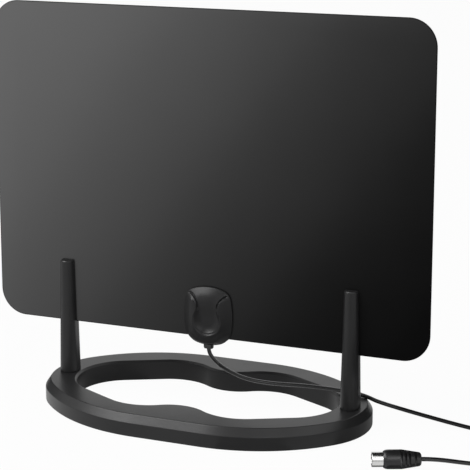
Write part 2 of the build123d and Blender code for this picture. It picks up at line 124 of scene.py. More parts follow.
# Scoop on the pod's face: its hourglass, the seams at its neck, its bowl and the bowl's lip
SCOOP_SHIFT = 1.2
BULB_RADIUS = 9.4
BULB_HEIGHT = 18.9
FLANK_RADIUS = 9.0
FLANK_HEIGHT = 27.9
SEAM_DEPTH = 1.2
SEAM_WIDTH = 0.5
SEAM_ABOVE = 6.0
SEAM_BELOW = 5.0
SEAM_BELOW_SHARE = 0.5
SEAM_BLEND = 4.0
SEAM_INSET = 0.4
SEAM_FADE = 2.0
STEP_DEPTH = 0.35
BOWL_DEPTH = 2.9
BOWL_RAMP = 5.2
BOWL_CURVE = 1.6
BOWL_TAIL = 21.0
BOWL_EDGE = 2.6
BOWL_FADE = 8.0
LIP_HEIGHT = 0.28
LIP_WIDTH = 0.8
LIP_OFFSET = 1.3

# Strain relief: its section, and how far in its lower end, edge and taper lie
RELIEF_CORNER = 1.6
RELIEF_STEPS = 18
RELIEF_END = 1.3
RELIEF_EDGE = 0.5
RELIEF_TAPER = 0.1
RELIEF_TAPER_HEIGHT = 1.0
RELIEF_REACH = 1.6
RELIEF_ROUNDS = (0.3, 0.4)
RELIEF_HOLD = 0.05

# Plug, along its own axis from the cord to the tip; a groove's reach and wall are in half widths
PLUG_END = (169.2, -50.0)
PLUG_HEADING = math.radians(202.9)
GRIP_RADIUS = 6.2
GRIP_END_RADIUS = 4.2
GRIP_LENGTH = 24.4
GRIP_TAPER = 12.5
GRIP_NOSE = 3.6
GRIP_TAIL = 1.6
GRIP_ROUND_STEPS = 6
GRIP_STEPS = 160
GRIP_SIDES = 128
GROOVE_PLACES = (3.9, 7.8, 10.3, 13.0)
GROOVE_WIDTH = 1.2
GROOVE_DEPTH = 2.6
GROOVE_REACH = 1.2
GROOVE_WALL = 0.4
GROOVE_TILT = math.radians(38)
BARREL_RADIUS = 4.75
BARREL_BORE = 4.05
BARREL_LENGTH = 7.2
BARREL_SEAT = 4.0
BARREL_STEP = 0.35
BARREL_SEAT_RADIUS = BARREL_RADIUS - BARREL_STEP
BARREL_ROUNDS = (0.05, 0.03, 0.1, 0.3, 0.25)
BARREL_HOLD = 0.1
BARREL_LAP = 0.02
BARREL_SIDES = 96

# Cord: its size, how finely it is cut, its route to the coil and from there to the plug
CORD_DIAMETER = 2.8
CORD_ROUND_STEPS = 5
CORD_CURVE_STEPS = 6
CORD_ORDER = 3
CORD_DROP = ((0, 0, 0), (0.2, 0, -2.8), (2.5, 0.7, -7.0), (6.4, 2.8, -12.0))
CORD_LEAD = (
    (17.0, 3.0, 27.9),
    (28.0, 9.0, 21.6),
    (45.0, 14.8, 18.9),
    (66.0, 20.6, 18.5),
    (88.0, 25.0, 16.9),
    (100.0, 22.4, 17.4),
    (110.5, 20.9, 16.65),
    (121.0, 20.5, 13.0),
    (182.2, 26.1, 1.5),
    (198.0, 25.4, 1.5),
    (212.5, 17.4, 2.4),
)
CORD_RETURN = ((215.0, -29.2, 7.2), (207.5, -33.2, 1.4))
CORD_TO_PLUG = ((27.0, 3.5), (9.0, GRIP_RADIUS - 0.1), (0.0, GRIP_RADIUS))

# Coil of the put-away cord
COIL_MIDDLE = (216.0, -7.5)
COIL_ACROSS = 30.8
COIL_COLUMNS = 4
COIL_LAYERS = 4
COIL_LIFT = 1.2
COIL_PITCH = 1.02 * CORD_DIAMETER
COIL_ENTRY = 60.0
COIL_EXIT = -67.7
COIL_TURNS = 12
COIL_RISER = 60.0
COIL_STEPS = 16

# Finishes: detail of their noise, how far roughness strays, where edges wear and how much paler
GRAIN_DETAIL = 3.0
BLOTCH_DETAIL = 4.0
GLOSS_RANGE = (0.85, 1.45)
WORN_RANGE = (0.53, 0.62)
WORN_GAIN = 3.0

# Camera: its place in metres, its turn in degrees and its lens
CAMERA_PLACE = (0.4212, -0.9974, 0.3995)
CAMERA_YAW = 21.814
CAMERA_PITCH = 11.756
CAMERA_SENSOR = 36.0
CAMERA_LENS = 124.79
CAMERA_SHIFT = -0.15

# Light of the surroundings, and the floor's size, tone, roughness and white
WORLD_LIGHT = 0.38
FLOOR_HALF = 6.0
FLOOR_TONE = 0.62
FLOOR_ROUGHNESS = 0.9
FLOOR_WHITE = 0.96

# Softboxes: where they point, and their places, sizes and powers
AIM = (0, 0, 0.1)
KEY_PLACE = (-0.96, -0.8, 1.45)
KEY_SIZE = 1.2
SOFTBOXES = {
    "key_softbox": (KEY_PLACE, KEY_SIZE, 20),
    "side_softbox": ((1.1, -0.25, 1.15), 1.0, 5),
    "front_softbox": ((0.8, -1.65, 1.2), 0.7, 6),
}

# Sheen on the panel: its card, the way its tone runs, where it starts and ends, and its tones
SHEEN_GAP = 1.2
SHEEN_HALF = 0.2
SHEEN_LOW = 0.03
SHEEN_HIGH = 0.3
SHEEN_LEAN = 0.65
SHEEN_FROM = -0.0745
SHEEN_TO = 0.2805
SHEEN_RAMP = ((0.0, 0.008), (0.25, 0.104), (0.5, 0.354), (0.75, 0.729), (1.0, 1.0))
SHEEN_STRENGTH = 2.8

# Dark cards that only reflections see, which paint shade into those reflections, by two opposite
# corners in metres: flat ones overhead and upright ones behind
DARK_TONE = 0.06
DARK_CARDS = {
    "plug_card": ((0.134, -0.07, 0.034), (0.22, 0.03, 0.034)),
    "base_card": ((-0.5, 0.036, 0.0), (-0.155, 0.036, 0.25)),
    "overhead_card": ((-0.12, -0.55, 0.5), (0.22, -0.2, 0.5)),
    "cord_card": ((0.125, 0.05, 0.0), (0.24, 0.05, 0.055)),
}

# Glowing cards that only reflections see: the one behind the key softbox, a painted highlight, and
# those on the floor with their outlines in metres, which paint light and shade into reflections of
# the floor
# Painted highlight: the card behind the key softbox glows only in reflections, for brighter gloss
# than the softbox gives
KEY_GLOSS = 6.8
KEY_GAP = 0.02
CARD_LIFT = 0.0004
FLOOR_CARDS = {
    # Painted light: brighter than the white floor, to the left of the object
    "floor_card_left": (1.1, [
        (-0.5, -0.4), (0.02, -0.4), (0.02, -0.06), (-0.03, -0.058),
        (-0.08, -0.045), (-0.101, -0.02), (-0.101, 0.06), (-0.5, 0.06),
    ]),
    # Painted shade: dimmer than the white floor, in front of the object
    "floor_card_front": (0.52, [
        (0.035, -0.45), (0.25, -0.45), (0.25, -0.1), (0.13, -0.09),
        (0.125, -0.07), (0.085, -0.07), (0.085, -0.045), (0.035, -0.058),
    ]),
    # Painted shade: dimmer than the white floor, to the right of the object
    "floor_card_right": (0.35, [
        (0.1, -0.035), (0.13, -0.035), (0.26, 0.0), (0.26, 0.06), (0.1, 0.06),
    ]),
    # Painted shade: the hole's floor glows dimmer where the panel and ring shade it, and dimmer
    # still at its end
    "floor_card_hole": (0.8, [(-0.06, -0.04), (0.1, -0.04), (0.1, 0.05), (-0.06, 0.05)]),
    "floor_card_hole_end": (0.4, [(-0.1, -0.04), (-0.06, -0.04), (-0.06, 0.05), (-0.1, 0.05)]),
    # Painted shadow: a dim card under the plug, seen in the reflections of its sleeve and grip
    "floor_card_plug_shadow": (0.2, [
        (0.1388, -0.0678), (0.1493, -0.0634), (0.1527, -0.0672),
        (0.1757, -0.0575), (0.1699, -0.0437), (0.1349, -0.0585),
    ]),
}


def mm_box(node):
    """Corners of a CAD node, in millimetres."""
    low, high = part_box(node)
    return low / MM, high / MM


base_lo, base_hi = mm_box("base_ring")
post_lo, post_hi = mm_box("post_right")
front_lo, front_hi = mm_box("panel_front_sheet")
rear_lo, rear_hi = mm_box("panel_rear_sheet")
pod_lo, pod_hi = mm_box("pod_front_cover")
relief_lo, relief_hi = mm_box("strain_relief")

HALF_LENGTH = base_hi.x
HALF_WIDTH = base_hi.y
BASE_TOP = base_hi.z
BASE_RIM = base_lo.z
SHOULDER = BASE_TOP - CHAMFER_HEIGHT
CEILING = BASE_TOP - BASE_WALL
CHAMFER_LEAN = math.atan2(CHAMFER_INSET, CHAMFER_HEIGHT)
POST_X = (post_lo.x + post_hi.x) / 2


# Materials


def link(tree, source, target):
    tree.links.new(source, target)


def new_node(tree, kind, **sockets):
    """Shader node with its input sockets set."""
    made = tree.nodes.new(kind)
    for name, value in sockets.items():
        made.inputs[name.replace("_", " ")].default_value = value
    return made


def ranged(tree, source, low, high, start=0.0, end=1.0):
    """Socket that carries a value from one range over to another."""
    made = new_node(
        tree, "ShaderNodeMapRange", From_Min=start, From_Max=end, To_Min=low, To_Max=high
    )
    link(tree, source, made.inputs["Value"])
    return made.outputs["Result"]


def worked_out(tree, operation, first, second):
    """Socket with the result of an operation on two others."""
    made = tree.nodes.new("ShaderNodeMath")
    made.operation = operation
    link(tree, first, made.inputs[0])
    link(tree, second, made.inputs[1])
    return made.outputs["Value"]


def toned(colour, gain):
    """Colour made darker or paler, with its alpha."""
    return [min(1, c * gain) for c in colour] + [1]


def colour_mix(tree, share, first, second):
    """Node that mixes two colours."""
    made = tree.nodes.new("ShaderNodeMix")
    made.data_type = "RGBA"
    made.inputs["A"].default_value = first
    made.inputs["B"].default_value = second
    link(tree, share, made.inputs["Factor"])
    return made


def surface(tree, shader):
    """Makes a shader the surface of its material."""
    link(tree, shader, tree.nodes["Material Output"].inputs["Surface"])


def noise(tree, size_mm, detail, stretch):
    """Socket with noise of a given size, in the object's own space."""
    place = tree.nodes.new("ShaderNodeTexCoord")
    scale = new_node(tree, "ShaderNodeMapping", Scale=stretch)
    link(tree, place.outputs["Object"], scale.inputs["Vector"])
    made = new_node(tree, "ShaderNodeTexNoise", Scale=1 / (size_mm * MM), Detail=detail)
    link(tree, scale.outputs["Vector"], made.inputs["Vector"])
    return made.outputs["Fac"]


def blotched_colour(tree, colour, blotch, spread, wear):
    """Socket with the blotched colour, paler along worn edges."""
    tint = colour_mix(tree, blotch, toned(colour, 1 - spread), toned(colour, 1 + spread))
    if not wear:
        return tint.outputs["Result"]
    edge = tree.nodes.new("ShaderNodeNewGeometry")
    worn = ranged(tree, edge.outputs["Pointiness"], 0.0, wear, *WORN_RANGE)
    rubbed = colour_mix(tree, worn, toned(colour, 1), toned(colour, WORN_GAIN))
    link(tree, tint.outputs["Result"], rubbed.inputs["A"])
    return rubbed.outputs["Result"]


def finish_material(
    name,
    colour,
    roughness,
    grain_mm,
    grain_depth_mm,
    blotch_mm=14.0,
    spread=0.18,
    specular=0.5,
    metallic=0.0,
    wear=0.0,
    stretch=(1, 1, 1),
):
    """Moulded, drawn or turned surface: grain in its bump, and blotches in its colour and gloss."""
    made = bpy.data.materials.new(name)
    made.use_nodes = True
    tree = made.node_tree
    shader = tree.nodes["Principled BSDF"]
    shader.inputs["Metallic"].default_value = metallic
    shader.inputs["Specular IOR Level"].default_value = specular

    grain = noise(tree, grain_mm, GRAIN_DETAIL, stretch)
    blotch = noise(tree, blotch_mm, BLOTCH_DETAIL, stretch)
    link(tree, blotched_colour(tree, colour, blotch, spread, wear), shader.inputs["Base Color"])
    both = worked_out(tree, "MULTIPLY", grain, blotch)
    low, high = GLOSS_RANGE
    link(tree, ranged(tree, both, roughness * low, roughness * high), shader.inputs["Roughness"])
    bump = new_node(tree, "ShaderNodeBump", Strength=1.0, Distance=grain_depth_mm * MM)
    link(tree, grain, bump.inputs["Height"])
    link(tree, bump.outputs["Normal"], shader.inputs["Normal"])
    return made


# Each finish by its colour, its roughness, its grain's size and depth and its blotches' size
panel_film = finish_material("panel_film", (0.0012, 0.0012, 0.0013), 0.36, 0.35, 0.002, 60.0)
panel_cut = finish_material(
    "panel_cut_edge", (0.002, 0.002, 0.002), 0.6, 0.2, 0.01, 5.0, specular=0.12
)
stand_plastic = finish_material(
    "stand_plastic", (0.0125, 0.0125, 0.0129), 0.36, 0.45, 0.012, 20.0, specular=0.25, wear=0.4
)
pod_plastic = finish_material(
    "pod_plastic", (0.0145, 0.0145, 0.0149), 0.35, 0.4, 0.006, 8.0, specular=0.16, wear=0.3
)
cord_jacket = finish_material("cord_jacket", (0.006, 0.006, 0.0062), 0.2, 0.5, 0.006, 9.0)
grip_plastic = finish_material(
    "grip_plastic", (0.01, 0.01, 0.0103), 0.34, 0.35, 0.008, 6.0, specular=0.42, wear=0.4
)
tie_plastic = finish_material("tie_plastic", (0.01, 0.01, 0.01), 0.45, 0.6, 0.02, 5.0)
foot_rubber = finish_material("foot_rubber", (0.017, 0.017, 0.017), 0.75, 0.5, 0.03, 4.0)
plug_metal = finish_material(
    "plug_metal", (0.62, 0.62, 0.61), 0.17, 0.6, 0.002, 4.0, 0.06, metallic=1.0, stretch=(1, 1, 0.2)
)
screw_steel = finish_material(
    "screw_steel", (0.42, 0.43, 0.44), 0.3, 0.5, 0.004, 3.0, 0.1, metallic=1.0
)
contact_brass = finish_material(
    "contact_brass", (0.55, 0.38, 0.12), 0.28, 0.5, 0.004, 3.0, 0.1, metallic=1.0
)
foil_metal = finish_material(
    "foil_metal", (0.68, 0.69, 0.7), 0.22, 0.8, 0.003, 20.0, 0.06, metallic=1.0
)
board_mask = finish_material("board_mask", (0.012, 0.1, 0.034), 0.3, 0.7, 0.01, 4.0)
ferrite = finish_material("ferrite", (0.04, 0.04, 0.043), 0.6, 0.3, 0.02, 3.0)
insulator_white = finish_material("insulator_white", (0.69, 0.67, 0.6), 0.45, 0.4, 0.006, 4.0, 0.05)


# Mesh helpers


def settle(obj, material, slot, *replaced):
    """Piece of the object: its finish and the CAD nodes that it stands for, which it hides. The
    slot is not used.
    """
    obj.data.materials.append(material)
    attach(obj, "root")
    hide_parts(*replaced)
    return obj


def shade(mesh, angle=38):
    """Smooth faces, with the edges sharper than the angle left crisp."""
    work = bmesh.new()
    work.from_mesh(mesh)
    bmesh.ops.recalc_face_normals(work, faces=work.faces)
    work.to_mesh(mesh)
    work.free()
    for face in mesh.polygons:
        face.use_smooth = True
    mesh.set_sharp_from_angle(angle=math.radians(angle))


def mesh_object(name, points, faces):
    """Object from points in millimetres."""
    mesh = bpy.data.meshes.new(name)
    mesh.from_pydata([Vector(p) * MM for p in points], [], faces)
    shade(mesh)
    obj = bpy.data.objects.new(name, mesh)
    scene.collection.objects.link(obj)
    return obj


def skin(name, rings, looped=False):
    """Closed surface through rings of equal count: capped at both ends, or joined end to end."""
    count = len(rings[0])
    points = [p for ring in rings for p in ring]
    spans = len(rings) if looped else len(rings) - 1
    faces = []
    for k in range(spans):
        a = k * count
        b = (k + 1) % len(rings) * count
        for i in range(count):
            j = (i + 1) % count
            faces.append((a + i, a + j, b + j, b + i))
    if not looped:
        faces.append(tuple(reversed(range(count))))
        faces.append(tuple(range(len(points) - count, len(points))))
    return mesh_object(name, points, faces)


def combine(obj, other, operation):
    """Boolean of two objects, which uses up the second."""
    change = obj.modifiers.new("combine", "BOOLEAN")
    change.object = other
    change.operation = operation
    change.solver = "EXACT"
    evaluated = obj.evaluated_get(bpy.context.evaluated_depsgraph_get())
    mesh = bpy.data.meshes.new_from_object(evaluated)
    obj.modifiers.clear()
    obj.data = mesh
    bpy.data.objects.remove(other)
    shade(mesh)


def rounded(corners, radii, steps=5, hold=0.3):
    """Open polyline with its inner corners rounded, and a holding point beside each arc."""
    line = [Vector(corners[0])]
    for before, corner, after, radius in zip(corners, corners[1:], corners[2:], radii):
        middle = Vector(corner)
        back = (Vector(before) - middle).normalized()
        ahead = (Vector(after) - middle).normalized()
        half = back.angle(ahead) / 2
        reach = radius / math.tan(half)
        start = middle + back * reach
        end = middle + ahead * reach
        line.append(start + back * hold)
        bisector = (back + ahead).normalized()
        pivot = middle + bisector * (radius / math.sin(half))
        for k in range(steps + 1):
            blend = start.lerp(end, k / steps) - pivot
            line.append(pivot + blend.normalized() * radius)
        line.append(end + ahead * hold)
    line.append(Vector(corners[-1]))
    return line


def ease(share):
    """Smooth step from 0 to 1."""
    share = min(1, max(0, share))
    return share * share * (3 - 2 * share)


def bell(away, width):
    """Rounded peak of height 1."""
    return math.exp(-((away / width) ** 2))


# Outlines as points with their outward normals


def arc_piece(centre, radius, start, end, outward=1):
    """Length of an arc, and its point and normal at a share of that length."""
    turn = math.radians(end - start)

    def at(share):
        angle = math.radians(start) + turn * share
        way = Vector((math.cos(angle), math.sin(angle)))
        return Vector(centre) + way * radius, way * outward

    return abs(turn) * radius, at


def line_piece(start, end):
    """Length of a straight, and its point and normal at a share of that length."""
    run = Vector(end) - Vector(start)
    normal = Vector((run.y, -run.x)).normalized()

    def at(share):
        return Vector(start) + run * share, normal

    return run.length, at


def sample(pieces, count):
    """Evenly spaced points and normals along pieces, both ends included."""
    total = sum(length for length, at in pieces)
    found = []
    for k in range(count + 1):
        left = total * k / count
        for length, at in pieces:
            if left <= length + SLACK:
                found.append(at(min(1, left / length)))
                break
            left -= length
    return found


def four_way(quarter):
    """Whole outline from its quarter in +X +Y, which runs from the X axis to the Y axis."""
    flips = [(1, 1, 1), (-1, 1, -1), (-1, -1, 1), (1, -1, -1)]
    whole = []
    for x, y, order in flips:
        part = [(Vector((p.x * x, p.y * y)), Vector((n.x * x, n.y * y))) for p, n in quarter]
        whole += (part if order == 1 else part[::-1])[:-1]
    return whole


def oval_outline(count):
    """Outer outline of the base: end arcs, shoulder arcs and flat sides."""
    sine = (BASE_SHOULDER_RADIUS - HALF_WIDTH) / (BASE_SHOULDER_RADIUS - BASE_END_RADIUS)
    swing = math.degrees(math.asin(sine))
    end_x = HALF_LENGTH - BASE_END_RADIUS
    reach = BASE_SHOULDER_RADIUS - BASE_END_RADIUS
    shoulder_x = end_x - reach * math.cos(math.radians(swing))
    shoulder_y = HALF_WIDTH - BASE_SHOULDER_RADIUS
    return four_way(sample([
        arc_piece((end_x, 0), BASE_END_RADIUS, 0, swing),
        arc_piece((shoulder_x, shoulder_y), BASE_SHOULDER_RADIUS, swing, 90),
        line_piece((shoulder_x, HALF_WIDTH), (0, HALF_WIDTH)),
    ], count))


def hole_outline(count):
    """Outline of the base's hole: end arcs, lobes and a waist."""
    end_x = HALF_LENGTH - RING_END_WIDTH - POCKET_RADIUS
    lobe_y = HALF_WIDTH - RING_SIDE_WIDTH - POCKET_RADIUS
    rise = POCKET_RADIUS - WAIST_BUMP
    crest = (LOBE_X ** 2 + rise ** 2 - POCKET_RADIUS ** 2) / (2 * WAIST_BUMP)
    crest_y = lobe_y + rise + crest
    slope = math.degrees(math.atan2(lobe_y, end_x - LOBE_X))
    turn = math.degrees(math.atan2(crest_y - lobe_y, -LOBE_X))
    end = arc_piece((end_x, 0), POCKET_RADIUS, 0, 90 - slope)
    lobe = arc_piece((LOBE_X, lobe_y), POCKET_RADIUS, 90 - slope, turn)
    waist = arc_piece((0, crest_y), crest, turn - 180, -90, outward=-1)
    straight = line_piece(end[1](1)[0], lobe[1](0)[0])
    return four_way(sample([end, straight, lobe, waist], count))


def box_outline(half_x, half_y, corner, count):
    """Rectangle with round corners."""
    pivot = (half_x - corner, half_y - corner)
    return four_way(sample([
        line_piece((half_x, 0), (half_x, pivot[1])),
        arc_piece(pivot, corner, 0, 90),
        line_piece((pivot[0], half_y), (0, half_y)),
    ], count))


def stadium(width, depth, count=64):
    """Round-ended section, longer from front to back."""
    radius = width / 2
    flat = depth / 2 - radius
    return four_way(sample([
        line_piece((radius, 0), (radius, flat)),
        arc_piece((0, flat), radius, 0, 90),
    ], count // 4))


def circle(diameter):
    """Round section, as a stadium with hardly any flat."""
    return stadium(diameter - SLIVER, diameter)


def moved(outline, place):
    """Outline carried to another middle."""
    return [(p + place.to_2d(), n) for p, n in outline]


def level(outline, offset, z):
    """Ring of points of an offset outline at a height."""
    return [(p.x + n.x * offset, p.y + n.y * offset, z) for p, n in outline]


def side_y(outline, offset, x):
    """Y of an offset outline's rear half over a place on the X axis."""
    line = [p + n * offset for p, n in outline if p.y >= 0]
    for a, b in zip(line, line[1:]):
        if min(a.x, b.x) <= x <= max(a.x, b.x) and a.x != b.x:
            return a.y + (b.y - a.y) * (x - a.x) / (b.x - a.x)


# Base ring


def base_rings(outer, hole):
    """Rings round the base's section: from under its deck, over it and back under it."""
    inner_shoulder = SHOULDER - BASE_WALL * math.tan(CHAMFER_LEAN / 2)
    inner_top = BASE_WALL + (CEILING - inner_shoulder) * math.tan(CHAMFER_LEAN)
    outside = rounded([
        (inner_top, CEILING),
        (BASE_WALL, inner_shoulder),
        (BASE_WALL, BASE_RIM),
        (0, BASE_RIM),
        (0, SHOULDER),
        (CHAMFER_INSET, BASE_TOP),
        (DECK_SPLIT, BASE_TOP),
    ], OUTER_ROUNDS)
    inside = rounded([
        (DECK_SPLIT, BASE_TOP),
        (HOLE_BEVEL, BASE_TOP),
        (0, BASE_TOP - HOLE_BEVEL),
        (0, BASE_RIM),
        (BASE_WALL, BASE_RIM),
        (BASE_WALL, CEILING),
    ], INNER_ROUNDS)
    return [level(outer, -p.x, p.y) for p in outside] + [level(hole, p.x, p.y) for p in inside]


def rib_rings(x, side, outer, hole):
    """Both faces of a rib that crosses the ring under its deck."""
    near = side_y(hole, BASE_WALL / 2, x) if x < HALF_LENGTH - RING_END_WIDTH else 0
    heights = (CEILING - RIB_HEIGHT, SHOULDER, CEILING + OVERLAP)
    far = []
    for z in heights:
        inset = BASE_WALL / 2 + max(0, z - SHOULDER) * math.tan(CHAMFER_LEAN)
        far.append((side_y(outer, -inset, x), z))
    section = [(near, heights[0]), *far, (near, heights[-1])]
    faces = (x - RIB_THICKNESS / 2, x + RIB_THICKNESS / 2)
    return [[(face, side * y, z) for y, z in section] for face in faces]


def add_ribs(base, outer, hole):
    """Ribs, in pairs to the left and right."""
    for x in RIB_PLACES:
        for side in (-1, 1):
            rings = rib_rings(x, side, outer, hole)
            for mirror in (-1, 1):
                flipped = [[(mirror * px, py, pz) for px, py, pz in ring] for ring in rings]
                combine(base, skin("rib", flipped), "UNION")


def add_boss(base, node):
    """Boss over a foot, which at the base's ends holds a post too, with the foot's seat."""
    low, high = mm_box(node)
    middle = (low + high) / 2
    across = high.x - low.x + 2 * FOOT_CLEARANCE
    boss = circle(across + 2 * FOOT_BOSS_WALL)
    if node.startswith("foot_end_"):
        boss = stadium(TENON_WIDTH + 2 * POST_BOSS_WALL, TENON_DEPTH + 2 * POST_BOSS_WALL)
    rings = [level(moved(boss, middle), 0, z) for z in (BASE_RIM, CEILING + OVERLAP)]
    combine(base, skin("boss", rings), "UNION")
    seat = moved(circle(across), middle)
    rings = [level(seat, 0, z) for z in (BASE_RIM - OVERCUT, BASE_RIM + FOOT_SEAT_DEPTH)]
    combine(base, skin("seat", rings), "DIFFERENCE")


def build_base():
    """Ring with rounded edges, open underneath, with its ribs and bosses."""
    outer = oval_outline(BASE_STEPS)
    hole = hole_outline(BASE_STEPS)
    base = skin("base_ring_shell", base_rings(outer, hole), looped=True)
    add_ribs(base, outer, hole)
    for node in nodes:
        if node.startswith("foot_"):
            add_boss(base, node)
    return settle(base, stand_plastic, "stand_black", "base_ring")


# Posts


def post_rings(low, high):
    """Rings of a post at the origin, from its tenon to its tip."""
    foot_width = high.x - low.x
    foot_depth = high.y - low.y
    tip = high.z
    rings = [level(stadium(TENON_WIDTH, TENON_DEPTH), 0, z) for z in (low.z, BASE_TOP)]
    seam = [
        (-POST_SEAM, BASE_TOP),
        (-POST_SEAM, BASE_TOP + POST_SEAM_TOP),
        (0, BASE_TOP + POST_SEAM_END),
    ]
    rounding = rounded([
        (0, tip - POST_TIP),
        (0, tip - POST_BEVEL),
        (-POST_BEVEL, tip),
        (-POST_TIP, tip),
    ], POST_ROUNDS, hold=POST_HOLD)
    for offset, z in seam + [(p.x, p.y) for p in rounding]:
        share = (z - BASE_TOP) / (tip - BASE_TOP)
        width = foot_width + (POST_TOP_WIDTH - foot_width) * share
        depth = foot_depth + (POST_TOP_DEPTH - foot_depth) * share
        rings.append(level(stadium(width, depth), offset, z))
    return rings


def build_post(side):
    """Tapered post, bevelled at its tip and slotted for the panel."""
    name = "post_right" if side > 0 else "post_left"
    low, high = mm_box(name)
    rings = post_rings(low, high)
    post = skin(name + "_body", [[(x + side * POST_X, y, z) for x, y, z in ring] for ring in rings])
    slot_y = rear_hi.y + SLOT_CLEARANCE
    wide = high.x - low.x
    square = [(-wide, -slot_y), (wide, -slot_y), (wide, slot_y), (-wide, slot_y)]
    heights = (front_lo.z, high.z + OVERCUT)
    walls = [[(x + side * POST_X, y, z) for x, y in square] for z in heights]
    combine(post, skin("slot", walls), "DIFFERENCE")
    return settle(post, stand_plastic, "stand_black", name)


# Panel


def build_sheet(name, low, high, front, node):
    """One sheet of the panel, with a soft pressed rim on its outer face."""
    half_z = (high.z - low.z) / 2
    middle_z = (high.z + low.z) / 2
    outline = box_outline(high.x, half_z, PANEL_CORNER, PANEL_STEPS)
    face_y, seam_y = (low.y, high.y) if front else (high.y, low.y)
    into = 1 if face_y < seam_y else -1
    rim = [(0, seam_y)] + [(offset, face_y + into * below) for offset, below in PANEL_RIM]
    rings = [[(p.x + n.x * e, y, middle_z + p.y + n.y * e) for p, n in outline] for e, y in rim]
    sheet = skin(name, rings)
    sheet.data.materials.append(panel_film)
    settle(sheet, panel_cut, "panel_black", node)
    for face in sheet.data.polygons:
        flat_face = abs(face.normal.y) > FACE_ON and len(face.vertices) > 4
        face.material_index = 0 if flat_face else 1
    return sheet


# Coupler pod


def arc_radius(half_span, rise):
    """Radius of an arc from half its span and its rise."""
    return (half_span ** 2 + rise ** 2) / (2 * rise)


def bearing(start, end):
    """Direction from one point to another, in degrees."""
    return math.degrees(math.atan2(end.y - start.y, end.x - start.x))


def circles_meet(first, first_radius, second, second_radius):
    """Where two circles meet, to the left of the way from the first centre to the second."""
    apart = second - first
    along = (first_radius ** 2 - second_radius ** 2 + apart.length_squared) / (2 * apart.length)
    across = math.sqrt(first_radius ** 2 - along ** 2)
    way = apart.normalized()
    return first + way * along + Vector((-way.y, way.x)) * across


def pod_outline(count):
    """Outline of the pod from its lowest point: arched top, round bottom and bulging sides."""
    half = (pod_hi.x - pod_lo.x) / 2
    tall = pod_hi.z - pod_lo.z
    corner_u = half - POD_SIDE_BULGE
    half_side = (tall - POD_BOTTOM_RISE - POD_TOP_RISE) / 2
    low_radius = arc_radius(corner_u, POD_BOTTOM_RISE)
    top_radius = arc_radius(corner_u, POD_TOP_RISE)
    side_radius = arc_radius(half_side, POD_SIDE_BULGE)
    low = Vector((0, low_radius))
    top = Vector((0, tall - top_radius))
    side = Vector((half - side_radius, POD_BOTTOM_RISE + half_side))
    low_pivot = circles_meet(
        low, low_radius - POD_BOTTOM_CORNER, side, side_radius - POD_BOTTOM_CORNER
    )
    top_pivot = circles_meet(
        side, side_radius - POD_TOP_CORNER, top, top_radius - POD_TOP_CORNER
    )
    ends = [
        -90,
        bearing(low, low_pivot),
        bearing(side, low_pivot),
        bearing(side, top_pivot),
        bearing(top, top_pivot),
        90,
    ]
    right = sample([
        arc_piece(low, low_radius, ends[0], ends[1]),
        arc_piece(low_pivot, POD_BOTTOM_CORNER, ends[1], ends[2]),
        arc_piece(side, side_radius, ends[2], ends[3]),
        arc_piece(top_pivot, POD_TOP_CORNER, ends[3], ends[4]),
        arc_piece(top, top_radius, ends[4], ends[5]),
    ], count)
    left = [(Vector((-p.x, p.y)), Vector((-n.x, n.y))) for p, n in right[::-1]]
    return right[:-1] + left[:-1]


def hourglass(u, v):
    """How far a point of the pod's face lies outside the hourglass."""
    reach = BULB_RADIUS + FLANK_RADIUS
    lift = FLANK_HEIGHT - BULB_HEIGHT
    flank_u = math.sqrt(reach ** 2 - lift ** 2)
    if v - BULB_HEIGHT > abs(u) * lift / flank_u:
        return FLANK_RADIUS - math.hypot(abs(u) - flank_u, v - FLANK_HEIGHT)
    return math.hypot(u, v - BULB_HEIGHT) - BULB_RADIUS


def scoop_drop(u, v, inset):
    """How far the face lies below its crown: seams at the neck, a bowl and its lip below them."""
    away = hourglass(u, v)
    climb = v - BULB_HEIGHT
    above = ease((climb - SEAM_ABOVE) / SEAM_BLEND)
    below = ease((BULB_HEIGHT - SEAM_BELOW - v) / SEAM_BLEND)
    seam = SEAM_DEPTH * bell(away, SEAM_WIDTH) * max(above, SEAM_BELOW_SHARE * below)
    within = BULB_RADIUS - math.hypot(u, min(0, climb))
    ramp = 1 - (1 - min(1, max(0, within / BOWL_RAMP))) ** BOWL_CURVE
    bowl = STEP_DEPTH + BOWL_DEPTH * ramp * ease(1 - climb / BOWL_TAIL)
    recess = bowl * ease(0.5 - away / BOWL_EDGE)
    lip = LIP_HEIGHT * bell(away - LIP_OFFSET, LIP_WIDTH) * (1 - above)
    return (seam - lip) * ease((inset - SEAM_INSET) / SEAM_FADE) + recess * ease(inset / BOWL_FADE)


def pod_face(centre):
    """Function that gives the depth of the pod's face at a point of its outline's plane."""
    rim = pod_outline(POD_RIM_STEPS)
    finder = KDTree(len(rim))
    for k, (p, n) in enumerate(rim):
        finder.insert(p.to_3d(), k)
    finder.balance()

    def depth_at(at):
        found, k, inset = finder.find(at.to_3d())
        tilt = rim[k][1].y
        far_edge = POD_TOP_EDGE if tilt > 0 else POD_BOTTOM_EDGE
        edge = POD_SIDE_EDGE + (far_edge - POD_SIDE_EDGE) * tilt ** 2
        across = POD_DOME_ACROSS * at.x ** 2 + (at.y - centre.y) ** 2
        crown = POD_DEPTH - POD_DOME_RADIUS + math.sqrt(POD_DOME_RADIUS ** 2 - across)
        rounding = 1 - (1 - min(1, inset / edge)) ** 2
        drop = scoop_drop(at.x - SCOOP_SHIFT, at.y, inset)
        return POD_FLANK + (crown - POD_FLANK) * rounding - drop

    return depth_at


